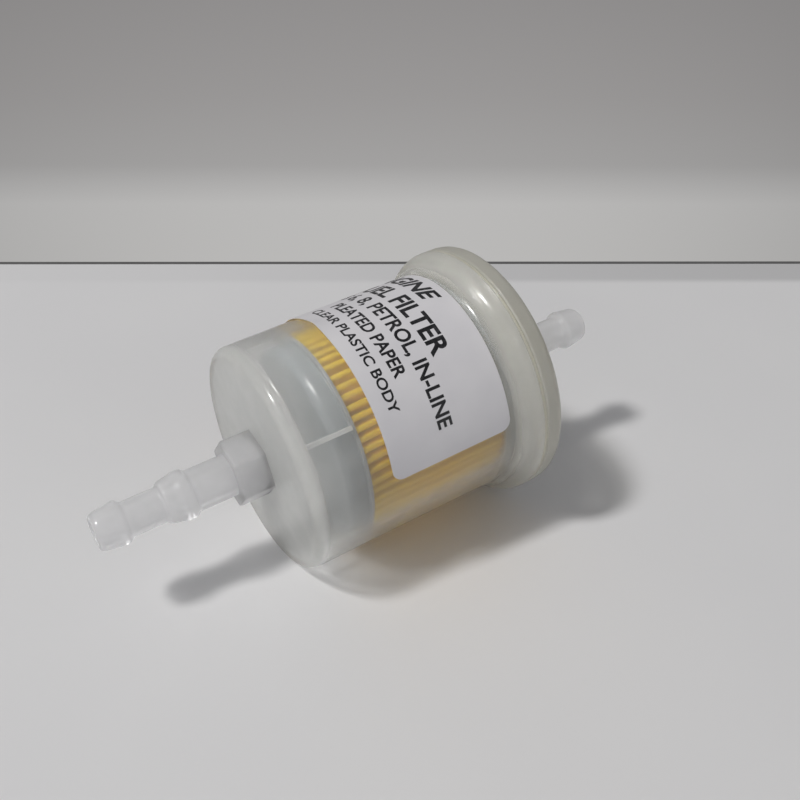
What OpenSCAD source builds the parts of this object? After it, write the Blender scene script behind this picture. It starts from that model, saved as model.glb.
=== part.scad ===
// In-line fuel filter: clear moulded housing, welded cover, pleated paper element.
// Millimetres. The filter's axis is X: the inlet nozzle points to -X, the cover
// and its outlet nozzle to +X. Z is up and Y completes the right-handed frame.
// The origin is on the axis, midway between the two nozzle tips.

/* [Overall] */
// length from nozzle tip to nozzle tip
total_length = 104; // [80:0.5:140]
// flat front face of the body, measured from the middle of the filter
body_front_x = -21.7; // [-40:0.1:-15]
// plane where the housing flange meets the cover flange
weld_plane_x = 23.6; // [15:0.1:40]
// outer face of the cover
cover_back_x = 28.2; // [20:0.1:45]

/* [Body] */
// outside radius of the body just behind its front corner
body_front_r = 21.2; // [15:0.05:30]
// outside radius of the body at the foot of the flange
body_back_r = 21.5; // [15:0.05:30]
// radius of the rounded front corner
front_round_r = 1.8; // [1:0.1:6]
// thickness of the side wall
wall = 1.6; // [1:0.1:3]
// thickness of the front wall
front_wall = 1.6; // [1:0.1:4]
// outside radius of both flanges
flange_r = 24.6; // [20:0.05:35]
// rounding of the cover's outer edge
cover_round_r = 2.2; // [0.4:0.1:2.5]

/* [Centring ribs] */
// number of ribs inside the front chamber
rib_count = 4; // [3:1:8]
// direction of the first rib, turned from +Y towards +Z
rib_angle = 141.5; // [0:0.5:360]
// thickness of each rib
rib_t = 1.0; // [0.6:0.1:3]
// distance from the axis to the inner edge of each rib
rib_inner_r = 18.35; // [14:0.05:22]

/* [Hose nozzles] */
// radius of the fuel passage through both nozzles
passage_r = 2.25; // [1:0.05:3]
// radius of the slim tube behind the small barb
tube_small_r = 3.2; // [2.6:0.05:5]
// radius at the crest of the small barb
barb_small_r = 4.0; // [3:0.05:6]
// radius of the thicker tube next to the body
tube_large_r = 3.85; // [3:0.05:6]
// radius at the crest of the large barb
barb_large_r = 4.5; // [3.5:0.05:7]
// radius over the corners of the six-sided boss at each nozzle root
boss_corner_r = 6.5; // [4.5:0.1:10]
// length of that boss along the axis
boss_length = 5.75; // [1:0.05:8]
// turn of the boss about the axis
boss_turn = 41; // [0:1:60]

/* [Cover inside] */
// outside radius of the ring that centres the cover in the housing mouth
plug_ring_r = 21.2; // [17:0.05:28]
// front edge of that ring
plug_ring_front_x = 21.7; // [18:0.1:26]
// thickness of the cover's end wall
cover_wall = 2.2; // [1:0.1:4]
// outside radius of the spigot that carries the element
spigot_r = 5.0; // [4:0.05:9]
// front end of the spigot
spigot_front_x = 20.6; // [16:0.1:25]
// number of ribs that press on the element's rear cap
stop_rib_count = 4; // [3:1:8]

/* [Filter element] */
// number of pleats
pleat_count = 60; // [24:1:80]
// outside radius of the pleats
pleat_outer_r = 18.6; // [12:0.1:24]
// inside radius of the pleats
pleat_inner_r = 10.5; // [5:0.1:16]
// thickness of the filter paper
paper_t = 0.3; // [0.2:0.05:0.6]
// width over one outer fold
fold_w = 1.0; // [0.6:0.05:2]
// gap between the paper walls at an inner fold
fold_gap = 0.24; // [0.1:0.02:0.6]
// front end of the paper
paper_front_x = -9.5; // [-16:0.1:0]
// rear end of the paper
paper_rear_x = 18.6; // [10:0.1:24]
// depth of adhesive at each end of the paper
potting_depth = 1.6; // [0.5:0.1:4]
// outside radius of the front cap's skirt
cap_skirt_r = 18.3; // [12:0.05:22]
// outside radius of the thin rim around the front cap's mouth
cap_rim_r = 19.0; // [14:0.05:22]
// front face of the front cap
cap_front_x = -13.8; // [-20:0.1:-8]
// wall thickness of both end caps
cap_wall = 1.0; // [0.6:0.1:2]
// radius of the opening in the rear end cap
neck_bore_r = 7.0; // [5:0.05:12]

/* [Label] */
// front edge of the label
label_front_x = -6.5; // [-20:0.1:5]
// rear edge of the label
label_rear_x = 18.0; // [5:0.1:22]
// thickness of the label
label_t = 0.12; // [0.06:0.01:0.3]
// lower edge of the label, turned from +Y towards +Z
label_edge_angle = 173.5; // [90:0.5:220]
// angle that the label covers
label_sweep = 190; // [60:1:350]

/* [Hidden] */
$fn = 96;
half = total_length / 2;
foot_x = 18;
foot_round_r = 1.8;
shoulder_r = 3.2;
shoulder_x = weld_plane_x - 0.5;
mouth_r = plug_ring_r + 0.15;
inner_front_x = body_front_x + front_wall;
inner_front_r = body_front_r - wall;
inner_back_r = body_back_r - wall;
boss_root_in = body_front_x - boss_length;
boss_out_length = 2.55;
boss_root_out = cover_back_x + boss_out_length;
cover_inner_x = cover_back_x - cover_wall;
cup_floor_x = cap_front_x + cap_wall;
rear_cap_x = paper_rear_x + potting_depth;
rear_cap_back = rear_cap_x + cap_wall;

// Points of a circular arc in a lathe profile, each as [radius, x].
function arc(cr, cx, rad, a0, a1, n) =
    [for (i = [0:n]) let (a = a0 + (a1 - a0) * i / n) [cr + rad * cos(a), cx + rad * sin(a)]];

// The outside of a hose nozzle as [distance from the tip, radius].
function nozzle_profile(root) = [
    [0, passage_r + 0.65], [0.18, passage_r + 0.92], [0.55, passage_r + 1.12],
    [2.6, barb_small_r - 0.28], [4.4, barb_small_r - 0.02], [4.8, barb_small_r], [5.1, barb_small_r - 0.08],
    [5.5, tube_small_r + 0.05], [5.8, tube_small_r],
    [11.7, tube_small_r], [11.95, tube_small_r + 0.2], [12.3, tube_small_r + 0.55],
    [14.3, barb_large_r - 0.3], [15.3, barb_large_r], [16.6, barb_large_r],
    [16.9, barb_large_r - 0.12], [17.3, tube_large_r + 0.05], [17.55, tube_large_r],
    [root, tube_large_r]];

// A closed lathe profile of [radius, x] points turned about the X axis.
module lathe(points) {
    rotate([0, 90, 0]) rotate_extrude() polygon(points);
}

// A plain cylinder between two positions on the axis.
module rod(x0, x1, r) {
    translate([x0, 0, 0]) rotate([0, 90, 0]) cylinder(h = x1 - x0, r = r);
}

// A flat ring between two positions on the axis.
module ring(x0, x1, r_out, r_in) {
    lathe([[r_in, x0], [r_out, x0], [r_out, x1], [r_in, x1]]);
}

// A stepped hose nozzle from its tip to the end of its boss; side is -1 for the
// inlet end and 1 for the outlet end.
module nozzle(side, root) {
    length = half - abs(root);
    p = nozzle_profile(length + 0.4);
    lathe(concat([[0, side * half]],
        [for (q = p) [q[1], side * (half - q[0])]],
        [[0, side * (half - length - 0.4)]]));
}

// The six-sided boss at a nozzle root, with its outer corners eased.
module boss(x0, x1, side) {
    ease = 0.7;
    intersection() {
        translate([x0, 0, 0]) rotate([boss_turn, 0, 0]) rotate([0, 90, 0])
            cylinder(h = x1 - x0, r = boss_corner_r, $fn = 6);
        if (side < 0)
            lathe([[0, x0], [boss_corner_r - ease, x0], [boss_corner_r + 0.1, x0 + ease + 0.1], [boss_corner_r + 0.1, x1], [0, x1]]);
        else
            lathe([[0, x0], [boss_corner_r + 0.1, x0], [boss_corner_r + 0.1, x1 - ease - 0.1], [boss_corner_r - ease, x1], [0, x1]]);
    }
}

// One rib standing inward from the housing wall in the front chamber. Its top
// edge is kept low at the chamber's rounded corner.
module centring_rib(angle) {
    rotate([angle, 0, 0]) rotate([90, 0, 0]) translate([0, 0, -rib_t / 2])
        linear_extrude(height = rib_t) polygon([
            [inner_front_x - 0.5, rib_inner_r - 1.6], [inner_front_x + 1.2, rib_inner_r],
            [paper_front_x - 0.8, rib_inner_r], [paper_front_x - 0.8, inner_front_r + 0.6],
            [inner_front_x - 0.5, inner_front_r - 0.6]]);
}

// Inlet nozzle: the stepped barb and its six-sided boss, on the front wall.
module inlet_nozzle() {
    color([0.84, 0.86, 0.86, 0.6])
    difference() {
        union() {
            boss(boss_root_in, body_front_x, -1);
            nozzle(-1, boss_root_in);
        }
        rod(-half - 1, body_front_x + 1, passage_r);
    }
}

// Outlet nozzle: the same, on the cover.
module outlet_nozzle() {
    color([0.82, 0.84, 0.8, 0.6])
    difference() {
        union() {
            boss(cover_back_x, boss_root_out, 1);
            nozzle(1, boss_root_out);
        }
        rod(cover_back_x - 1, half + 1, passage_r);
    }
}

// Housing: front wall, body, centring ribs and flange.
module housing() {
    color([0.86, 0.88, 0.85, 0.45])
    difference() {
        union() {
            // outside of the body and flange, less the chamber
            lathe(concat(
                [[0, body_front_x]],
                arc(body_front_r - front_round_r, body_front_x + front_round_r, front_round_r, -90, 0, 8),
                arc(body_back_r + foot_round_r, foot_x, foot_round_r, 180, 120, 5),
                arc(flange_r - shoulder_r, shoulder_x, shoulder_r, -60, 0, 6),
                [[flange_r, weld_plane_x - 0.4], [flange_r - 0.1, weld_plane_x - 0.15], [flange_r - 0.35, weld_plane_x]],
                [[mouth_r, weld_plane_x], [mouth_r, 20.9], [mouth_r - 0.35, 20.2],
                 [inner_back_r + 0.3, 18.8], [inner_back_r, 17.4]],
                arc(inner_front_r - 1.8, inner_front_x + 1.8, 1.8, 0, -90, 6),
                [[0, inner_front_x]]));
            for (i = [0:rib_count - 1]) centring_rib(rib_angle + i * 360 / rib_count);
        }
        // fuel passage through the front wall
        rod(body_front_x - 1, inner_front_x + 1, passage_r);
    }
}

// Bead of remelted plastic in the joint between the two flanges.
module weld_seam() {
    color([0.78, 0.79, 0.74, 0.8])
    lathe([[flange_r - 1.7, weld_plane_x + 0.02], [flange_r - 0.36, weld_plane_x + 0.02],
           [flange_r - 0.12, weld_plane_x + 0.12], [flange_r - 0.06, weld_plane_x + 0.3],
           [flange_r - 0.12, weld_plane_x + 0.48], [flange_r - 0.36, weld_plane_x + 0.58],
           [flange_r - 1.7, weld_plane_x + 0.58]]);
}

// Cover: flange, end wall, centring ring, spigot and stop ribs.
module cover() {
    seam = weld_plane_x + 0.6;
    color([0.82, 0.84, 0.8, 0.55])
    difference() {
        union() {
            lathe(concat(
                [[0, cover_back_x]],
                [[flange_r - 6.5, cover_back_x], [flange_r - 5.9, cover_back_x - 0.25], [flange_r - 4.9, cover_back_x - 0.25], [flange_r - 4.3, cover_back_x - 0.05]],
                arc(flange_r - cover_round_r, cover_back_x - cover_round_r - 0.05, cover_round_r, 90, 0, 6),
                [[flange_r, seam + 0.5], [flange_r - 0.1, seam + 0.2], [flange_r - 0.35, seam],
                 [plug_ring_r, seam], [plug_ring_r, plug_ring_front_x], [plug_ring_r - 1.3, plug_ring_front_x],
                 [plug_ring_r - 1.5, cover_inner_x], [0, cover_inner_x]]));
            ring(weld_plane_x + 0.02, seam + 0.3, flange_r - 1.72, plug_ring_r - 0.5);
            rod(spigot_front_x, cover_inner_x + 0.5, spigot_r);
            for (i = [0:stop_rib_count - 1]) rotate([rib_angle + 45 + i * 360 / stop_rib_count, 0, 0])
                translate([rear_cap_back + 0.05, 9.6, -rib_t / 2]) cube([cover_inner_x + 0.5 - rear_cap_back - 0.05, 8.2, rib_t]);
        }
        // fuel passage through the end wall and the spigot
        rod(spigot_front_x - 1, cover_back_x + 1, passage_r);
    }
}

// One zigzag outline of the pleated paper: pairs of points at outer and inner folds.
function pleats(r_out, half_out, r_in, half_in) = [
    for (i = [0:pleat_count - 1]) let (c = 360 * i / pleat_count, v = c + 180 / pleat_count,
        a = half_out / r_out * 180 / PI, b = half_in / r_in * 180 / PI)
        for (q = [[r_out, c - a], [r_out, c + a], [r_in, v - b], [r_in, v + b]])
            [q[0] * cos(q[1]), q[0] * sin(q[1])]];

// Filter paper folded into a star and closed into a ring.
module pleated_media() {
    color([0.85, 0.67, 0.2])
    translate([paper_front_x, 0, 0]) rotate([0, 90, 0]) difference() {
        linear_extrude(height = paper_rear_x - paper_front_x)
            polygon(pleats(pleat_outer_r, fold_w / 2, pleat_inner_r + paper_t, fold_gap / 2));
        translate([0, 0, -1]) linear_extrude(height = paper_rear_x - paper_front_x + 2)
            polygon(pleats(pleat_outer_r - paper_t, fold_w / 2 - paper_t, pleat_inner_r, fold_gap / 2 + paper_t));
    }
}

// Closed cap over the front of the element: a shallow drum with a thin rim
// that the pleats stand on.
module front_end_cap() {
    mouth = paper_front_x - 0.02;
    color([0.62, 0.67, 0.7])
    lathe(concat(
        [[0, cap_front_x]],
        arc(cap_skirt_r - 1.6, cap_front_x + 1.6, 1.6, -90, 0, 6),
        [[cap_skirt_r, mouth - 0.7], [cap_rim_r, mouth - 0.7], [cap_rim_r, mouth], [cap_skirt_r - cap_wall, mouth]],
        arc(cap_skirt_r - cap_wall - 0.8, cup_floor_x + 0.8, 0.8, 0, -90, 4),
        [[0, cup_floor_x]]));
}

// Adhesive that fills the front cap's drum and holds the front end of the paper.
module front_potting() {
    r = cap_skirt_r - cap_wall - 0.02;
    color([0.88, 0.85, 0.74])
    lathe([[pleat_inner_r - 2, paper_front_x - potting_depth], [r, paper_front_x - potting_depth],
           [r, paper_front_x - 0.02], [pleat_inner_r - 2, paper_front_x - 0.02]]);
}

// Adhesive that holds the rear end of the paper in its cap.
module rear_potting() {
    color([0.88, 0.85, 0.74])
    ring(paper_rear_x + 0.02, rear_cap_x - 0.02, pleat_outer_r + 0.13, pleat_inner_r - 2);
}

// Open cap at the rear of the element, with a neck that fits around the spigot.
module rear_end_cap() {
    skirt = pleat_outer_r + 0.15;
    color([0.62, 0.67, 0.7])
    lathe([[neck_bore_r, rear_cap_x], [skirt, rear_cap_x], [skirt, paper_rear_x - 0.6], [skirt + cap_wall - 0.4, paper_rear_x - 0.6],
           [skirt + cap_wall - 0.4, rear_cap_back - 0.4], [skirt + cap_wall - 0.8, rear_cap_back],
           [neck_bore_r + cap_wall, rear_cap_back], [neck_bore_r + cap_wall, rear_cap_back + 2.4],
           [neck_bore_r, rear_cap_back + 2.4]]);
}

// Soft sealing ring between the neck and the spigot.
module outlet_seal() {
    x0 = rear_cap_x + 0.8;
    color([0.15, 0.15, 0.16])
    lathe([[spigot_r + 0.02, x0 + 0.2], [spigot_r + 0.3, x0], [neck_bore_r - 0.3, x0], [neck_bore_r - 0.02, x0 + 0.2],
           [neck_bore_r - 0.02, x0 + 2.0], [neck_bore_r - 0.3, x0 + 2.2], [spigot_r + 0.3, x0 + 2.2], [spigot_r + 0.02, x0 + 2.0]]);
}

// Paper label wrapped over the top of the body.
module label() {
    r0 = body_back_r + 0.03;
    color([0.93, 0.92, 0.95])
    rotate([label_edge_angle - label_sweep + 90, 0, 0]) rotate([0, 90, 0]) rotate_extrude(angle = label_sweep)
        polygon([[r0, label_front_x], [r0 + label_t, label_front_x], [r0 + label_t, label_rear_x], [r0, label_rear_x]]);
}

inlet_nozzle();
housing();
weld_seam();
cover();
outlet_nozzle();
label();
front_end_cap();
front_potting();
pleated_media();
rear_potting();
rear_end_cap();
outlet_seal();
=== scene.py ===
# %% [markdown]
# # An in-line fuel filter
# A clear plastic body with a pleated paper element inside, a cover welded to its
# flange, and a stepped hose nozzle at each end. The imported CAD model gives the
# frame: the filter's axis is X, the inlet points to -X and Z is up. Every piece
# made here takes its place from that frame.

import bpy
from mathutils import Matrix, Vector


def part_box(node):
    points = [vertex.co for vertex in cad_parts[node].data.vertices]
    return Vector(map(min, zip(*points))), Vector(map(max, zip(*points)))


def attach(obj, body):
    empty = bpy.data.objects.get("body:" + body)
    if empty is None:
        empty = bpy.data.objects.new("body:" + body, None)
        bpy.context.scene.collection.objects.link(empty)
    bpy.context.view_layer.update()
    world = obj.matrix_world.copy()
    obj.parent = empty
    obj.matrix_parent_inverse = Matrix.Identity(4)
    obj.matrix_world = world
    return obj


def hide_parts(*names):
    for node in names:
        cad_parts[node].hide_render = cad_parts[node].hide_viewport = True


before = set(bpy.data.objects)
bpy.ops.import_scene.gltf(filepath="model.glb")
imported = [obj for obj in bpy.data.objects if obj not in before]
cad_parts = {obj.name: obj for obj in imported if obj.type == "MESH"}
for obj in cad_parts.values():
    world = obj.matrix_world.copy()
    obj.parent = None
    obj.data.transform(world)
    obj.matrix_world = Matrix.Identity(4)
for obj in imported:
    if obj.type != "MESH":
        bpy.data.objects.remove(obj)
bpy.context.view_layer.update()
print("CAD nodes:", sorted(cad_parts))

# %% Tools and the unit
import random
from math import asin, atan2, cos, hypot, pi, radians, sin, tau

import bmesh
import bpy
from mathutils import Matrix, Vector

MM = 0.001
SCENE = bpy.context.scene


def span(node):
    """The front and rear end of a CAD node on the axis, in millimetres."""
    low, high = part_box(node)
    return low.x / MM, high.x / MM


TIP_IN, ROOT_IN = span("inlet_nozzle")
FRONT, WELD = span("housing")
ROOT_OUT, TIP_OUT = span("outlet_nozzle")
FLANGE_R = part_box("housing")[1].y / MM
print(f"nozzle tips at {TIP_IN:.1f} and {TIP_OUT:.1f} mm, flange radius {FLANGE_R:.2f} mm")

# %% [markdown]
# ## Shader sums as Python sums
# A material is a graph, and a graph written socket by socket is hard to read.
# A small class wraps one output socket, so that a sum on two wrapped sockets adds
# the Math node that does it. One method of the material makes every other node.

# %% A wrapped socket and a finish
class Signal:
    """One output socket. Sums on it add Math nodes to its finish."""

    def __init__(self, finish, socket):
        self.finish, self.socket = finish, socket

    def maths(self, operation, a, b=0.0):
        return self.finish.make("ShaderNodeMath", {"operation": operation}, {0: a, 1: b})

    def __add__(self, other):
        return self.maths("ADD", self, other)

    def __sub__(self, other):
        return self.maths("SUBTRACT", self, other)

    def __rsub__(self, other):
        return self.maths("SUBTRACT", other, self)

    def __mul__(self, other):
        return self.maths("MULTIPLY", self, other)

    def __truediv__(self, other):
        return self.maths("DIVIDE", self, other)

    def __pow__(self, other):
        return self.maths("POWER", self, other)

    __radd__, __rmul__ = __add__, __mul__


class Finish:
    """A material under construction."""

    def __init__(self, name):
        self.material = bpy.data.materials.new(name)
        self.material.use_nodes = True
        self.tree = self.material.node_tree
        self.tree.nodes.clear()

    def make(self, kind, settings=None, sockets=None, output=0):
        """Adds a node: its settings first, then the values or links of its sockets."""
        node = self.tree.nodes.new(kind)
        for key, value in (settings or {}).items():
            if key == "stops":
                ramp = node.color_ramp.elements
                while len(ramp) < len(value):
                    ramp.new(0.5)
                for stop, (place, colour) in zip(ramp, value):
                    stop.position, stop.color = place, colour
            else:
                setattr(node, key, value)
        for key, value in (sockets or {}).items():
            if isinstance(value, Signal):
                self.tree.links.new(value.socket, node.inputs[key])
            else:
                node.inputs[key].default_value = value
        return None if output is None else Signal(self, node.outputs[output])

    def place(self):
        """Where a point is on the object, in metres."""
        return self.make("ShaderNodeTexCoord", output="Object")

    def noise(self, scale, detail=2.0, roughness=0.5, vector=None):
        """Cloudy noise from 0 to 1, with about `scale` clouds to the metre."""
        return self.make("ShaderNodeTexNoise", None,
                         {"Vector": vector or self.place(), "Scale": scale, "Detail": detail,
                          "Roughness": roughness})

    def stretch(self, factors):
        """The place with each axis multiplied, for noise that is drawn out one way."""
        return self.make("ShaderNodeVectorMath", {"operation": "MULTIPLY"}, {0: self.place(), 1: factors})

    def axis(self, name):
        """One coordinate of the place, in metres."""
        return self.make("ShaderNodeSeparateXYZ", None, {0: self.place()}, output=name)

    def ramp(self, value, low, high, start=0.0, end=1.0):
        """A smooth change from start to end as value goes from low to high."""
        return self.make("ShaderNodeMapRange", {"interpolation_type": "SMOOTHSTEP"},
                         {"Value": value, "From Min": low, "From Max": high, "To Min": start, "To Max": end})

    def mix_colour(self, share, a, b):
        """Colour a where share is 0, colour b where it is 1."""
        return self.make("ShaderNodeMix", {"data_type": "RGBA"}, {0: share, 6: a, 7: b}, output=2)

    def bump(self, height, strength, distance):
        return self.make("ShaderNodeBump", None, {"Height": height, "Strength": strength,
                                                  "Distance": distance})

    def plastic(self, **sockets):
        """A Principled shader; a socket's name is written with underscores."""
        return self.make("ShaderNodeBsdfPrincipled", None,
                         {key.replace("_", " "): value for key, value in sockets.items()})

    def mix_shader(self, share, a, b):
        """Shader a where share is 0, shader b where it is 1."""
        return self.make("ShaderNodeMixShader", None, {0: share, 1: a, 2: b})

    def lets_light_by(self, shader, share, colour):
        """Rays on their way to a lamp meet a clear tinted shader for a share of the surface."""
        to_lamp = self.make("ShaderNodeLightPath", output="Is Shadow Ray")
        passed = self.make("ShaderNodeBsdfTransparent", None, {"Color": colour})
        return self.mix_shader(to_lamp * share, shader, passed)

    def done(self, shader):
        self.make("ShaderNodeOutputMaterial", None, {"Surface": shader}, output=None)
        return self.material


# %% [markdown]
# ## Clear and milky plastic
# The housing is thin clear plastic: it bends light, shines, and scatters a little,
# more so at the front wall, the flange and the nozzles. A glass-like Principled
# shader and a milky one are mixed by the place along the axis. Lamps shine through a
# real clear wall, so rays on their way to a lamp meet a Transparent shader for a
# chosen share of the surface, and the paper inside stays lit. The shares are chosen
# for their look and aren't measured properties of a plastic.

# %% Moulded see-through plastic
def moulded_clear(name, tint, milk, haze_stops, polish, passing):
    """haze_stops are (x in mm, share of milky plastic) along the axis; passing is the
    share of lamp light that gets through one surface where there is no haze."""
    f = Finish(name)
    x = f.axis("X") / MM
    haze = haze_stops[0][1]
    for (x0, h0), (x1, h1) in zip(haze_stops, haze_stops[1:]):
        haze = f.ramp(x, x0, x1, 0.0, h1 - h0) + haze
    cloud = f.noise(160.0, 3.0)
    haze = haze + (cloud - 0.5) * 0.12
    ripple = f.noise(260.0, 1.0, 0.4)
    drawn = f.noise(1.0, 2.0, 0.5, f.stretch((120.0, 900.0, 900.0)))
    surface = f.bump(ripple * 0.9 + drawn * 0.1, 0.10, 0.0005)
    rough = f.ramp(cloud, 0.3, 0.7, polish, polish + 0.06)
    clear = f.plastic(Base_Color=tint, Roughness=rough, IOR=1.47, Transmission_Weight=1.0, Normal=surface)
    milk_colour = f.mix_colour(cloud, milk, tuple(min(1, c * 1.05) for c in milk[:3]) + (1,))
    milky = f.plastic(Base_Color=milk_colour, Roughness=rough * 1.5 + 0.1, IOR=1.47,
                      Coat_Weight=0.6, Coat_Roughness=0.06, Coat_IOR=1.5, Normal=surface)
    glow = f.make("ShaderNodeBsdfTranslucent", None, {"Color": milk})
    wall = f.mix_shader(haze, clear, f.mix_shader(0.6, milky, glow))
    return f.done(f.lets_light_by(wall, (1 - haze * 0.5) * passing, tint))


body_plastic = moulded_clear(
    "body_plastic", (0.97, 0.97, 0.965, 1), (0.91, 0.915, 0.90, 1),
    [(FRONT, 0.48), (FRONT + 3.5, 0.22), (-13, 0.13), (6, 0.15), (18.5, 0.18), (22.0, 0.48)], 0.14, 0.76)
cover_plastic = moulded_clear(
    "cover_plastic", (0.96, 0.955, 0.93, 1), (0.88, 0.87, 0.81, 1), [(22, 0.58), (28, 0.54)], 0.15, 0.96)
nozzle_plastic = moulded_clear(
    "nozzle_plastic", (0.98, 0.98, 0.985, 1), (0.95, 0.95, 0.96, 1), [(TIP_IN, 0.50), (ROOT_IN,
                                                                                       0.42)], 0.14, 0.66)
weld_plastic = moulded_clear(
    "weld_plastic", (0.94, 0.93, 0.89, 1), (0.84, 0.83, 0.76, 1), [(20, 0.7), (26, 0.7)], 0.16, 0.9)
rib_plastic = moulded_clear(
    "rib_plastic", (0.97, 0.97, 0.97, 1), (0.95, 0.96, 0.96, 1), [(-20, 0.40), (-12, 0.75)], 0.12, 0.7)
print("see-through plastics:",
      [m.name for m in (body_plastic, cover_plastic, nozzle_plastic, weld_plastic, rib_plastic)])

# %% [markdown]
# ## Solid finishes
# The end caps are blue-grey moulded plastic, the adhesive is cast and uneven, the
# sealing ring is black rubber. None is one flat colour: each has a slight clouding
# and a fine surface of its own.

# %% End caps, adhesive and rubber
def cast(name, dark, light, rough, grain, depth, coat=0.0):
    f = Finish(name)
    cloud = f.noise(220.0, 4.0)
    fine = f.noise(grain, 2.0)
    colour = f.mix_colour(f.ramp(cloud, 0.3, 0.7), dark, light)
    return f.done(f.plastic(Base_Color=colour, Roughness=f.ramp(fine, 0.2, 0.8, rough, rough + 0.12),
                            Normal=f.bump(fine * 0.6 + cloud * 0.4, 0.4, depth),
                            Coat_Weight=coat, Coat_Roughness=0.17))


cap_plastic = cast("cap_plastic", (0.25, 0.275, 0.29, 1), (0.31, 0.335, 0.35, 1), 0.16, 2600.0, 0.00008, 0.7)
adhesive = cast("adhesive", (0.62, 0.55, 0.36, 1), (0.74, 0.68, 0.50, 1), 0.35, 900.0, 0.0004)
seal_rubber = cast("seal_rubber", (0.012, 0.012, 0.013, 1), (0.022, 0.022, 0.024, 1), 0.55, 3000.0, 0.00006)

# %% [markdown]
# ## Filter paper
# The element's paper is cellulose soaked in golden resin, with a fibrous grain. Shade is painted into its folds and
# light onto its outer folds: the distance from the axis tells how deep in a fold a point is, and the colour is
# painted darker there and lighter at the crests.

# %% Resin-soaked paper
def pleat_paper(inner, outer):
    f = Finish("pleat_paper")
    y, z = f.axis("Y"), f.axis("Z")
    # mask for painted shade and light: 0 deep in the folds, 1 at the outer folds
    depth = f.ramp((y * y + z * z) ** 0.5, inner * MM, outer * MM)
    fibres = f.noise(1.0, 5.0, 0.65, f.stretch((900.0, 2600.0, 2600.0)))
    blotch = f.noise(110.0, 3.0)
    # the darker colour paints shade deep in the folds; the lighter colour below paints light on the crests
    fold_shade_colour = f.mix_colour(blotch, (0.42, 0.26, 0.002, 1), (0.52, 0.34, 0.004, 1))
    crest = f.mix_colour(blotch, (0.74, 0.57, 0.006, 1), (0.82, 0.66, 0.012, 1))
    colour = f.mix_colour(depth, fold_shade_colour, crest)
    colour = f.mix_colour(f.ramp(fibres, 0.35, 0.75, 0.0, 0.35), colour, (0.90, 0.75, 0.06, 1))
    shader = f.plastic(Base_Color=colour, Roughness=f.ramp(fibres, 0.2, 0.8, 0.55, 0.8),
                       Normal=f.bump(fibres, 0.35, 0.00012))
    through = f.make("ShaderNodeBsdfTranslucent", None, {"Color": (0.92, 0.76, 0.03, 1)})
    return f.done(f.lets_light_by(f.mix_shader(0.4, shader, through), 0.94, (0.99, 0.90, 0.55, 1)))


PLEAT_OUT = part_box("pleated_media")[1].y / MM
PLEAT_IN = 10.5
paper = pleat_paper(PLEAT_IN, PLEAT_OUT)

# %% [markdown]
# ## Label stock and ink
# The label is white coated paper with a faint cool tint. Its coating has a soft
# shine and the sheet shows tiny waves where it is stuck to the plastic. The ink is
# black, a little thin in places, as thermal print is.

# %% Coated paper and black ink
def coated_paper():
    f = Finish("label_stock")
    wave = f.noise(90.0, 2.0)
    fibre = f.noise(2400.0, 3.0)
    colour = f.mix_colour(f.ramp(wave, 0.3, 0.7), (0.70, 0.69, 0.72, 1), (0.75, 0.74, 0.765, 1))
    sheet = f.plastic(Base_Color=colour, Roughness=f.ramp(fibre, 0.3, 0.7, 0.38, 0.5),
                      Normal=f.bump(wave * 0.85 + fibre * 0.15, 0.25, 0.0005))
    return f.done(f.lets_light_by(sheet, 0.8, (0.74, 0.74, 0.74, 1)))


def print_ink():
    f = Finish("print_ink")
    thin = f.noise(1500.0, 3.0)
    colour = f.mix_colour(f.ramp(thin, 0.45, 0.85), (0.008, 0.008, 0.010, 1), (0.05, 0.05, 0.055, 1))
    return f.done(f.plastic(Base_Color=colour, Roughness=f.ramp(thin, 0.3, 0.8, 0.3, 0.5)))


label_stock, ink = coated_paper(), print_ink()

# %% [markdown]
# ## Turned pieces
# Most of the filter is round, so most of it can be turned. The half outline is a
# loop of a few corners. Each corner that is rounded on the real piece is bevelled
# in the flat outline, which is far lighter than bevelling the finished solid, and
# the loop is then spun once round the axis.

# %% Outline, spin and hand over
STEPS = 160


def finished(name, bm, material, replaced=(), sharp=38):
    """Closes up a bmesh, makes the object, and hides the CAD nodes it replaces."""
    bmesh.ops.remove_doubles(bm, verts=bm.verts, dist=1e-7)
    bmesh.ops.dissolve_degenerate(bm, dist=1e-7, edges=bm.edges)
    bmesh.ops.recalc_face_normals(bm, faces=bm.faces)
    mesh = bpy.data.meshes.new(name)
    bm.to_mesh(mesh)
    open_edges = sum(1 for e in bm.edges if len(e.link_faces) != 2)
    bm.free()
    mesh.materials.append(material)
    mesh.shade_smooth()
    mesh.set_sharp_from_angle(angle=radians(sharp))
    piece = bpy.data.objects.new(name, mesh)
    SCENE.collection.objects.link(piece)
    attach(piece, "root")
    if replaced:
        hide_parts(*replaced)
    print(f"{name}: {len(mesh.polygons)} faces, {open_edges} open edges")
    return piece


def outline(bm, corners, segments=4):
    """A closed loop through (x, radius, rounding) corners, in millimetres."""
    points = [bm.verts.new((x * MM, 0, r * MM)) for x, r, _ in corners]
    for a, b in zip(points, points[1:] + points[:1]):
        bm.edges.new((a, b))
    for point, (_, _, rounding) in zip(points, corners):
        if rounding:
            bmesh.ops.bevel(bm, geom=[point], offset=rounding * MM, affect="VERTICES",
                            segments=segments, profile=0.5, material=-1)


def turn(bm, steps=STEPS):
    bmesh.ops.spin(bm, geom=bm.verts[:] + bm.edges[:], cent=(0, 0, 0), axis=(1, 0, 0),
                   angle=tau, steps=steps, use_merge=True)


def turned(name, corners, material, replaced=(), segments=4, sharp=38):
    bm = bmesh.new()
    outline(bm, corners, segments)
    turn(bm)
    return finished(name, bm, material, replaced, sharp)


# %% [markdown]
# ## The housing
# One moulding: the front wall with its generous corner, a body with a slight taper,
# and a flange that flares out of the body in an S curve. The outline goes round the
# outside first and comes back along the inside, so the wall is a true wall and
# light bends in it twice.

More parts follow.
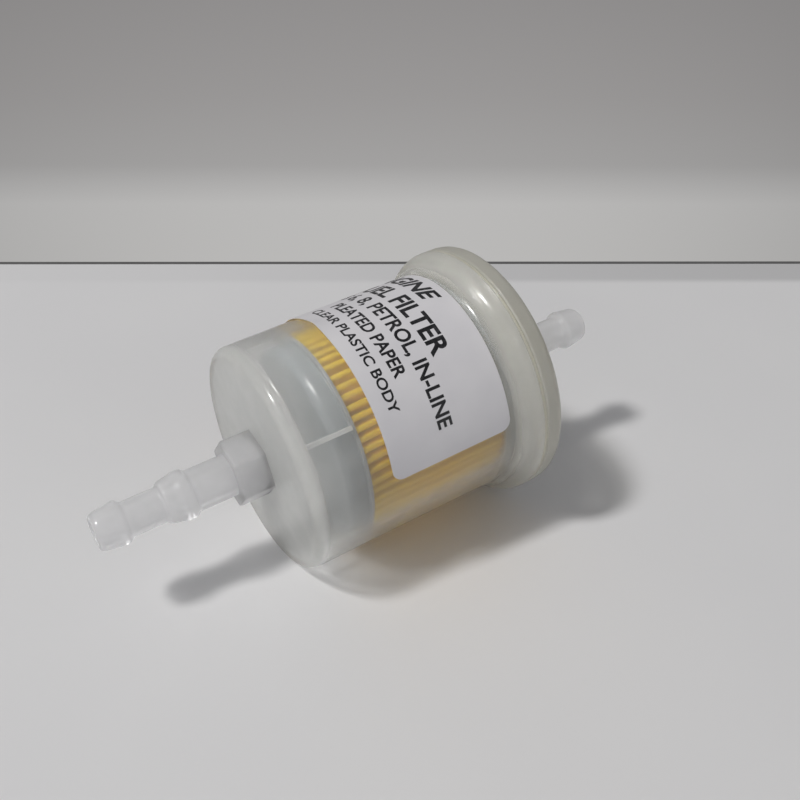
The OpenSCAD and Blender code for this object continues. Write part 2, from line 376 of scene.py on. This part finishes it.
# %% Body
BODY_FRONT_R, BODY_BACK_R, WALL, CORNER_ROUND = 21.2, 21.5, 1.6, 1.8
PASSAGE_R = 2.25
MOUTH_R = 21.35
turned("clear_body", [
    (FRONT, PASSAGE_R, 0), (FRONT, BODY_FRONT_R, CORNER_ROUND), (19.0, BODY_BACK_R, 1.0), (21.25,
                                                                                           FLANGE_R, 1.8),
    (WELD - 0.25, FLANGE_R, 0.1), (WELD, FLANGE_R - 0.35, 0.1), (WELD, MOUTH_R, 0.1), (20.9, MOUTH_R, 0.4),
    (18.6, BODY_BACK_R - WALL + 0.25, 1.0), (17.2, BODY_BACK_R - WALL, 0.6),
    (FRONT + WALL, BODY_FRONT_R - WALL, 1.8), (FRONT + WALL, PASSAGE_R, 0)],
    body_plastic, ["housing"], segments=6)

# %% [markdown]
# Four thin ribs stand inside the front chamber and hold the element off the wall.
# Each is a slim block with eased edges, turned to its place about the axis.

# %% Centring ribs
RIB_TURN, RIB_COUNT = 141.5, 4
CAP_FRONT, _ = span("front_end_cap")
PAPER_FRONT, PAPER_REAR = span("pleated_media")
RIB_END = PAPER_FRONT - 0.8


def ribs(name, x0, x1, r0, r1, thick, turns, material):
    bm = bmesh.new()
    for angle in turns:
        made = bmesh.ops.create_cube(bm, size=1)["verts"]
        bmesh.ops.scale(bm, vec=((x1 - x0) * MM, (r1 - r0) * MM, thick * MM), verts=made)
        bmesh.ops.translate(bm, vec=((x0 + x1) / 2 * MM, (r0 + r1) / 2 * MM, 0), verts=made)
        edges = list({e for v in made for e in v.link_edges})
        around = bmesh.ops.bevel(bm, geom=edges, offset=0.22 * MM, affect="EDGES",
                                 segments=3, profile=0.5, material=-1)
        bmesh.ops.rotate(bm, cent=(0, 0, 0), matrix=Matrix.Rotation(radians(angle), 3, "X"),
                         verts=list({v for f in around["faces"] for v in f.verts} | {v for v in made if v.is_valid}))
    return finished(name, bm, material)


RIB_INNER_R, RIB_THICK = 18.35, 0.8
ribs("centring_ribs", FRONT + WALL + 0.5, RIB_END, RIB_INNER_R, BODY_FRONT_R - WALL + 0.3, RIB_THICK,
     [RIB_TURN + 360 / RIB_COUNT * k for k in range(RIB_COUNT)], rib_plastic)

# %% [markdown]
# ## Nozzles
# Both nozzles have the same steps: a rounded tip, a small barb for a slim hose, a
# plain neck, a large barb, and a thicker neck that ends in a six-sided boss. One
# list of steps measured from the tip serves both ends. Spinning a rectangle in six
# steps gives the boss.

# %% Stepped nozzles and bosses
# (distance from the tip, radius, rounding), in millimetres
NOZZLE_STEPS = [(0.0, 2.95, 0.25), (0.55, 3.4, 0.45), (2.6, 3.72, 0.0), (4.75, 4.0, 0.45), (5.65, 3.2, 0.35),
                (11.85, 3.2, 0.4), (12.3, 3.85, 0.35), (14.4, 4.2, 0.4), (15.3, 4.5, 0.3), (16.75, 4.5, 0.3),
                (17.4, 3.85, 0.35)]
BOSS_R, BOSS_TURN = 6.5, 41
BOSS_IN_LENGTH, BOSS_OUT_LENGTH = 5.75, 2.55


def nozzle(name, tip, root, replaced):
    inward = 1 if root > tip else -1
    steps = [(tip + inward * t, r, rounding) for t, r, rounding in NOZZLE_STEPS]
    return turned(name, [(tip, PASSAGE_R, 0.2)] + steps + [(root, 3.85, 0), (root, PASSAGE_R, 0)],
                  nozzle_plastic, [replaced])


def boss(name, outer, root):
    bm = bmesh.new()
    outline(bm, [(outer, 3.3, 0), (outer, BOSS_R, 0), (root, BOSS_R, 0), (root, 3.3, 0)])
    turn(bm, 6)
    bmesh.ops.remove_doubles(bm, verts=bm.verts, dist=1e-7)
    rim = [e for e in bm.edges if all(hypot(v.co.y, v.co.z) > 5 * MM for v in e.verts)
           and not all(abs(v.co.x - root * MM) < 1e-6 for v in e.verts)]
    bmesh.ops.bevel(bm, geom=rim, offset=0.45 * MM, affect="EDGES", segments=3, profile=0.5, material=-1)
    bmesh.ops.rotate(bm, cent=(0, 0, 0), matrix=Matrix.Rotation(radians(BOSS_TURN), 3, "X"), verts=bm.verts)
    return finished(name, bm, nozzle_plastic, sharp=30)


nozzle("inlet_nozzle_moulding", TIP_IN, ROOT_IN, "inlet_nozzle")
nozzle("outlet_nozzle_moulding", TIP_OUT, ROOT_OUT, "outlet_nozzle")
boss("inlet_boss", ROOT_IN - BOSS_IN_LENGTH, ROOT_IN)
boss("outlet_boss", ROOT_OUT + BOSS_OUT_LENGTH, ROOT_OUT)

# %% [markdown]
# ## Cover and weld
# The cover is a separate moulding: a flange as wide as the housing's, an end wall
# with a shallow ring groove, a ring that centres it in the housing's mouth, and a
# spigot for the element. The seam between the flanges is a bead of remelted plastic.

# %% Cover, stop ribs and weld bead
COVER_IN, COVER_BACK = span("cover")
SEAM = WELD + 0.6
COVER_WALL, PLUG_R, SPIGOT_R = 2.2, 21.2, 5.0
turned("cover_cap", [
    (COVER_BACK, PASSAGE_R, 0), (COVER_BACK, FLANGE_R - 6.5, 0.3), (COVER_BACK - 0.25, FLANGE_R - 5.9, 0.2),
    (COVER_BACK - 0.25, FLANGE_R - 4.9, 0.2), (COVER_BACK - 0.03, FLANGE_R - 4.3, 0.3),
    (COVER_BACK - 0.03, FLANGE_R, 2.1), (SEAM + 0.25, FLANGE_R, 0.15), (SEAM, FLANGE_R - 0.35, 0.1),
    (SEAM, PLUG_R, 0), (21.7, PLUG_R, 0.2), (21.7, 19.9, 0.2), (COVER_BACK - COVER_WALL, 19.7, 0.5),
    (COVER_BACK - COVER_WALL, SPIGOT_R, 0.4), (COVER_IN, SPIGOT_R, 0.3), (COVER_IN, PASSAGE_R, 0)],
    cover_plastic, ["cover"], segments=5)
ribs("cover_stop_ribs", span("rear_end_cap")[1] - 2.3, COVER_BACK - COVER_WALL + 0.3, 9.6, 17.8, 1.0,
     [RIB_TURN + 45 + 90 * k for k in range(4)], rib_plastic)
turned("weld_bead", [
    (WELD + 0.02, 21.4, 0), (WELD + 0.02, FLANGE_R - 0.3, 0), (WELD + 0.3, FLANGE_R - 0.06, 0.2),
    (SEAM - 0.02, FLANGE_R - 0.3, 0), (SEAM - 0.02, 21.4, 0)], weld_plastic, ["weld_seam"])

# %% [markdown]
# ## The pleated element
# Paper is scored and folded into a star of sixty pleats. The outline is a zigzag of
# fold points with a small seeded scatter, as hand-gathered pleats have. Bevelling the
# points rounds the folds, extruding the outline along the axis gives the sheet, and
# Solidify gives it its thickness.

# %% Pleats
PLEATS = 60
PAPER_THICK = 0.3


def pleated_paper():
    scatter = random.Random(7)
    bm = bmesh.new()
    points = []
    for k in range(PLEATS):
        crest = tau * (k + scatter.uniform(-0.10, 0.10)) / PLEATS
        valley = tau * (k + 0.5 + scatter.uniform(-0.06, 0.06)) / PLEATS
        r_out = PLEAT_OUT - 0.1 - scatter.uniform(0.0, 0.25)
        half = 0.36 / PLEAT_OUT
        nook = 0.2 / PLEAT_IN
        r_in = PLEAT_IN + 0.2
        for r, angle in ((r_out, crest - half), (r_out, crest + half), (r_in, valley - nook), (r_in,
                                                                                               valley + nook)):
            points.append(bm.verts.new((0, r * cos(angle) * MM, r * sin(angle) * MM)))
    loop = [bm.edges.new((a, b)) for a, b in zip(points, points[1:] + points[:1])]
    bmesh.ops.bevel(bm, geom=points, offset=0.16 * MM, affect="VERTICES", segments=2, profile=0.5,
                    material=-1)
    rows = 20
    step = (PAPER_REAR - PAPER_FRONT) / rows
    bmesh.ops.translate(bm, vec=(PAPER_FRONT * MM, 0, 0), verts=bm.verts)
    front = list(bm.edges)
    for row in range(rows):
        made = bmesh.ops.extrude_edge_only(bm, edges=front)["geom"]
        fresh = [g for g in made if isinstance(g, bmesh.types.BMVert)]
        front = [g for g in made if isinstance(g, bmesh.types.BMEdge)]
        bmesh.ops.translate(bm, vec=(step * MM, 0, 0), verts=fresh)
        sway = radians(0.35) * scatter.uniform(-1, 1)
        if row < rows - 1:
            bmesh.ops.rotate(bm, cent=(0, 0, 0), matrix=Matrix.Rotation(sway, 3, "X"), verts=fresh)
    piece = finished("pleated_paper", bm, paper, ["pleated_media"], sharp=60)
    thick = piece.modifiers.new("paper_thickness", "SOLIDIFY")
    thick.thickness, thick.offset = PAPER_THICK * MM, 0
    return piece


pleated_paper()

# %% [markdown]
# ## Caps, adhesive and seal
# The front cap is a shallow closed drum with a thin rim that the pleats stand on.
# The rear cap is open, with a neck round the cover's spigot. Adhesive joins paper to
# caps, and a soft ring seals the neck.

# %% Caps and their fillings
DRUM_R, RIM_R, CAP_WALL = 18.3, 19.0, 1.0
MOUTH = PAPER_FRONT - 0.02
turned("front_drum_cap", [
    (CAP_FRONT, 0, 0), (CAP_FRONT, DRUM_R, 1.6), (MOUTH - 0.7, DRUM_R, 0.15), (MOUTH - 0.7, RIM_R, 0.15),
    (MOUTH, RIM_R, 0.15), (MOUTH, DRUM_R - CAP_WALL, 0.1), (CAP_FRONT + CAP_WALL, DRUM_R - CAP_WALL, 0.8),
    (CAP_FRONT + CAP_WALL, 0, 0)], cap_plastic, ["front_end_cap"], segments=5)
REAR_CAP, NECK_END = span("rear_end_cap")[0] + 2.2, span("rear_end_cap")[1]
SKIRT = PLEAT_OUT + 0.15
turned("rear_neck_cap", [
    (REAR_CAP, 7.0, 0), (REAR_CAP, SKIRT, 0.1), (PAPER_REAR - 0.6, SKIRT, 0), (PAPER_REAR - 0.6,
                                                                               SKIRT + 0.6, 0.1),
    (REAR_CAP + 1.0, SKIRT + 0.6, 0.35), (REAR_CAP + 1.0, 8.0, 0.3), (NECK_END, 8.0, 0.2), (NECK_END,
                                                                                            7.0, 0.2)],
    cap_plastic, ["rear_end_cap"])


def filling(name, node, r_in, r_out, swell):
    x0, x1 = span(node)
    turned(name, [(x0, r_in, swell), (x1, r_in, swell), (x1, r_out, 0.1), (x0, r_out, 0.1)], adhesive,
           [node])


filling("front_adhesive", "front_potting", 8.5, DRUM_R - CAP_WALL - 0.02, 0.4)
filling("rear_adhesive", "rear_potting", 8.5, PLEAT_OUT + 0.13, 0.4)
seal0, seal1 = span("outlet_seal")
turned("neck_seal", [(seal0, 5.02, 0.3), (seal1, 5.02, 0.3), (seal1, 6.98, 0.3), (seal0, 6.98, 0.3)],
       seal_rubber, ["outlet_seal"])

# %% [markdown]
# ## The label
# The sheet starts flat, with its four corners bevelled round. It is cut into narrow
# strips so that it can bend, then wrapped: its length becomes an angle about the
# axis. Its front edge has lifted a little near the top.
# The words are general ones. Each line is a text curve made into a mesh, cut into
# the same narrow strips and wrapped just above the sheet.

# %% Wrapping flat work round the body
LABEL_FRONT, LABEL_REAR = span("label")
LABEL_EDGE, LABEL_SWEEP = 173.5, 190.0
LABEL_R = BODY_BACK_R + 0.04
STRIP_WIDTH = 0.55
INK_HEIGHT = 0.115


def lift(x, angle):
    """How far the label stands off the plastic, in mm."""
    near_edge = max(0.0, 1 - (x - LABEL_FRONT) / 4.0)
    near_top = max(0.0, 1 - abs(angle - 84) / 22.0)
    return 0.55 * near_edge ** 2 * near_top ** 2


def wrap(bm, stand_off):
    """Flat work has x along the filter, y along the girth as arc length, z outwards."""
    length = LABEL_R * radians(1)
    low = min(v.co.y for v in bm.verts) / MM
    high = max(v.co.y for v in bm.verts) / MM
    cuts = int((high - low) / STRIP_WIDTH)
    for k in range(1, cuts):
        bmesh.ops.bisect_plane(bm, geom=bm.verts[:] + bm.edges[:] + bm.faces[:],
                               plane_co=(0, (low + (high - low) * k / cuts) * MM, 0), plane_no=(0, 1, 0))
    for v in bm.verts:
        x, arc, out = v.co / MM
        angle = arc / length
        r = LABEL_R + stand_off + out + lift(x, angle)
        v.co = Vector((x, r * cos(radians(angle)), r * sin(radians(angle)))) * MM


# %% The sheet
def label_sheet():
    bm = bmesh.new()
    arc = LABEL_R * radians(1)
    start, end = (LABEL_EDGE - LABEL_SWEEP) * arc, LABEL_EDGE * arc
    made = bmesh.ops.create_grid(bm, x_segments=1, y_segments=1, size=0.5)["verts"]
    bmesh.ops.scale(bm, vec=((LABEL_REAR - LABEL_FRONT) * MM, (end - start) * MM, 1), verts=made)
    bmesh.ops.translate(bm, vec=((LABEL_FRONT + LABEL_REAR) / 2 * MM, (start + end) / 2 * MM, 0), verts=made)
    bmesh.ops.bevel(bm, geom=made, offset=2.0 * MM, affect="VERTICES", segments=8, profile=0.5, material=-1)
    for x in (LABEL_FRONT + 1, LABEL_FRONT + 2, LABEL_FRONT + 3, LABEL_FRONT + 4):
        bmesh.ops.bisect_plane(bm, geom=bm.verts[:] + bm.edges[:] + bm.faces[:],
                               plane_co=(x * MM, 0, 0), plane_no=(1, 0, 0))
    wrap(bm, 0.0)
    bmesh.ops.recalc_face_normals(bm, faces=bm.faces)
    outward = sum(f.normal.dot(Vector((0, f.calc_center_median().y, f.calc_center_median().z))) for f in bm.faces)
    if outward < 0:
        bmesh.ops.reverse_faces(bm, faces=bm.faces)
    bmesh.ops.solidify(bm, geom=bm.faces[:], thickness=-0.1 * MM)
    return finished("label_sheet", bm, label_stock, ["label"], sharp=50)


label_sheet()

# %% The printed words
# (words, baseline x, letter height, degrees where the line ends, stretch, boldness, slant)
LINES = [("ENGINE", 13.2, 3.2, 99.0, 1.2, 0.030, 0.35),
         ("FUEL FILTER", 7.9, 3.6, 127.0, 1.0, 0.028, 0.0),
         ("HOSE SIZES 6, 8, PETROL, IN-LINE", 3.75, 2.75, 158.5, 0.95, 0.024, 0.0),
         ("PLEATED PAPER", -0.35, 2.35, 129.5, 0.95, 0.024, 0.0),
         ("CLEAR PLASTIC BODY", -3.8, 1.85, 143.0, 1.1, 0.022, 0.0)]


def printed_line(index, words, base, height, end, stretch, bold, slant):
    curve = bpy.data.curves.new(f"words_{index}", "FONT")
    curve.body, curve.size, curve.offset, curve.extrude = words, 1.0, bold, 0.004
    curve.shear = slant
    curve.resolution_u = 4
    source = bpy.data.objects.new(f"words_{index}", curve)
    SCENE.collection.objects.link(source)
    bpy.context.view_layer.update()
    mesh = bpy.data.meshes.new_from_object(source)
    bpy.data.objects.remove(source)
    bm = bmesh.new()
    bm.from_mesh(mesh)
    bpy.data.meshes.remove(mesh)
    tall = 0.70
    grow = height / tall * MM
    high_x = max(v.co.x for v in bm.verts)
    # letters' own right becomes the girth, and their own up becomes +X
    turn_flat = Matrix(((0, 1, 0), (1, 0, 0), (0, 0, 1)))
    for v in bm.verts:
        flat = Vector(((v.co.x - high_x) * grow * stretch, v.co.y * grow, v.co.z * MM))
        v.co = turn_flat @ flat + Vector((base * MM, end * radians(1) * LABEL_R * MM, 0))
    bmesh.ops.triangulate(bm, faces=bm.faces)
    wrap(bm, INK_HEIGHT)
    return finished(f"printed_words_{index}", bm, ink, sharp=30)


for index, line in enumerate(LINES, 1):
    printed_line(index, *line)

# %% [markdown]
# ## Floor
# The filter lies on a table on its flange and on the rounded front corner, so the
# table is tilted a little to the filter's axis. The two touching circles give the
# tilt: the line that touches both from below is the table.

# %% Table
shoulder = (WELD - 0.5, FLANGE_R - 3.2, 3.2)
corner = (FRONT + CORNER_ROUND, BODY_FRONT_R - CORNER_ROUND, CORNER_ROUND)
run = shoulder[0] - corner[0]
rise = shoulder[1] - corner[1]
lean = atan2(rise, run) + asin((shoulder[2] - corner[2]) / hypot(run, rise))
UP = Vector((sin(lean), 0, cos(lean)))
table_level = (UP.x * shoulder[0] - UP.z * shoulder[1] - shoulder[2]) * MM
print(f"the table leans {lean * 180 / pi:.2f} degrees to the axis")


def on_table(x, y):
    """The table's point below or above (x, y), in metres."""
    return Vector((x, y, (table_level - UP.x * x) / UP.z))


# where the table's far edge passes behind the filter
FAR_EDGE = on_table(0.063, 0.088)
EDGE = (on_table(1, -0.617) - on_table(0, 0)).normalized()
AWAY = UP.cross(EDGE)


def slab(name, near, far, left, right, top, thick, material):
    """A flat block on the table plane, with its far edge square to the view."""
    bm = bmesh.new()
    bmesh.ops.create_cube(bm, size=1)
    bmesh.ops.scale(bm, vec=(right - left, far - near, thick), verts=bm.verts)
    bmesh.ops.translate(bm, vec=((left + right) / 2, (near + far) / 2, top - thick / 2), verts=bm.verts)
    axes = Matrix((EDGE, AWAY, UP)).transposed()
    for v in bm.verts:
        v.co = axes @ v.co + FAR_EDGE
    bmesh.ops.recalc_face_normals(bm, faces=bm.faces)
    mesh = bpy.data.meshes.new(name)
    bm.to_mesh(mesh)
    bm.free()
    mesh.materials.append(material)
    piece = bpy.data.objects.new(name, mesh)
    SCENE.collection.objects.link(piece)
    return piece


def table_top():
    f = Finish("table_top")
    cloud = f.noise(9.0, 3.0)
    fine = f.noise(1400.0, 2.0)
    colour = f.mix_colour(f.ramp(cloud, 0.3, 0.7), (0.76, 0.76, 0.775, 1), (0.79, 0.79, 0.80, 1))
    along, away = (f.make("ShaderNodeVectorMath", {"operation": "DOT_PRODUCT"},
                          {0: f.place(), 1: tuple(d)}, output="Value") for d in (EDGE, AWAY))
    far = AWAY.dot(FAR_EDGE)
    # a darker band along the table's far edge, stronger towards the right
    far_edge_band = f.ramp(away, far - 0.014, far - 0.010) * f.ramp(along, -0.10, 0.14, 0.05, 0.42)
    colour = f.mix_colour(far_edge_band, colour, (0.30, 0.30, 0.31, 1))
    return f.done(f.plastic(Base_Color=colour, Roughness=f.ramp(fine, 0.3, 0.7, 0.55, 0.65),
                            Normal=f.bump(fine, 0.05, 0.0001)))


def dark_gap():
    f = Finish("dark_gap")
    grey = f.mix_colour(f.noise(60.0), (0.10, 0.10, 0.10, 1), (0.14, 0.14, 0.14, 1))
    return f.done(f.plastic(Base_Color=grey, Roughness=0.8))


slab("table", -1.6, -0.0012, -1.6, 1.6, 0.0, 0.02, table_top())
slab("table_joint", -0.0012, 0.0008, -1.6, 1.6, -0.0002, 0.02, dark_gap())

# %% [markdown]
# ## Light and camera
# A lamp high on the inlet side gives the soft-edged shadows, and a grey surround
# fills them: a wall that darkens upwards ahead of the camera, and a brighter room
# behind it. The camera looks down at the filter from the inlet's side.

# %% Surround
class Surround(Finish):
    """The world's own shader, made with the same tools."""

    def __init__(self):
        world = bpy.data.worlds.new("surround")
        SCENE.world = world
        world.use_nodes = True
        self.tree = world.node_tree
        self.tree.nodes.clear()

    def along(self, direction):
        """How far the view direction points along a direction, from -1 to 1."""
        towards = self.make("ShaderNodeTexCoord", output="Generated")
        return self.make("ShaderNodeVectorMath", {"operation": "DOT_PRODUCT"},
                         {0: towards, 1: tuple(direction)}, output="Value")


sky = Surround()
ahead = sky.along(AWAY)
before = ahead.maths("MAXIMUM", ahead, 0.05)
level = sky.make("ShaderNodeMapRange", None, {"Value": sky.along(UP) / before, "From Min": -0.60,
                                              "From Max": 0.40})
wall = sky.make("ShaderNodeValToRGB", {"stops": [
    (0.10, (0.490, 0.484, 0.476, 1)), (0.172, (0.490, 0.484, 0.478, 1)), (0.195, (0.430, 0.424, 0.420, 1)),
    (0.217, (0.362, 0.355, 0.352, 1)), (0.292, (0.320, 0.310, 0.308, 1)), (0.386, (0.283, 0.274, 0.273, 1)),
    (0.90, (0.250, 0.250, 0.255, 1))]}, {0: level})
sideways = sky.along(EDGE) / before
wall = sky.mix_colour(sideways.maths("MINIMUM", sideways * sideways * 0.9, 0.35), wall, (0.10, 0.10, 0.10, 1))
room = sky.mix_colour(sky.ramp(sky.along(UP), 0.0, 0.75), (0.62, 0.62, 0.62, 1), (0.25, 0.25, 0.255, 1))
light = sky.mix_colour(sky.ramp(ahead, 0.15, -0.45), wall, room)
shader = sky.make("ShaderNodeBackground", None, {"Color": light, "Strength": 1.0})
sky.make("ShaderNodeOutputWorld", None, {"Surface": shader}, output=None)

# %% Lamp
def lamp(name, towards, distance, size, watts, colour):
    light = bpy.data.lights.new(name, "AREA")
    light.shape, light.size, light.energy, light.color = "DISK", size, watts, colour
    holder = bpy.data.objects.new(name, light)
    SCENE.collection.objects.link(holder)
    direction = Vector(towards).normalized()
    holder.location = direction * distance
    holder.rotation_euler = direction.to_track_quat("Z", "Y").to_euler()


lamp("ceiling_lamp", (-0.46, 0.09, 0.88), 2.5, 0.32, 34.0, (1.0, 0.985, 0.965))

# %% [markdown]
# Light that has come in through the clear wall is passed on many times between the
# folds of the paper, more often than a render follows it. A very weak warm lamp in
# the empty core stands for that light, and gives the shadow below a warm tint. The
# real filter has no lamp.

# %% Light scattered inside the element
scattered = bpy.data.lights.new("scattered_light", "POINT")
scattered.energy, scattered.color, scattered.shadow_soft_size = 0.0036, (1.0, 0.86, 0.36), 0.006
holder = bpy.data.objects.new("scattered_light", scattered)
SCENE.collection.objects.link(holder)
holder.location = ((PAPER_FRONT + PAPER_REAR) / 2 * MM, 0, 0)

# %% Camera
VIEW_FROM = Vector((-64.5, -124.3, 109.4)) * MM
LOOK = Vector((0.40224, 0.68732, -0.60481))
HEAD_UP = Vector((0.36636, 0.48457, 0.79434))
camera_data = bpy.data.cameras.new("camera")
camera_data.sensor_width = 36
camera_data.lens = 42.75
camera = bpy.data.objects.new("camera", camera_data)
SCENE.collection.objects.link(camera)
right_hand = LOOK.cross(HEAD_UP).normalized()
camera.matrix_world = Matrix.Translation(VIEW_FROM) @ Matrix((right_hand, HEAD_UP,
                                                              -LOOK)).transposed().to_4x4()
camera_data.clip_start, camera_data.clip_end = 0.005, 20
SCENE.camera = camera
SCENE.view_settings.view_transform = "Standard"
SCENE.view_settings.look = "None"
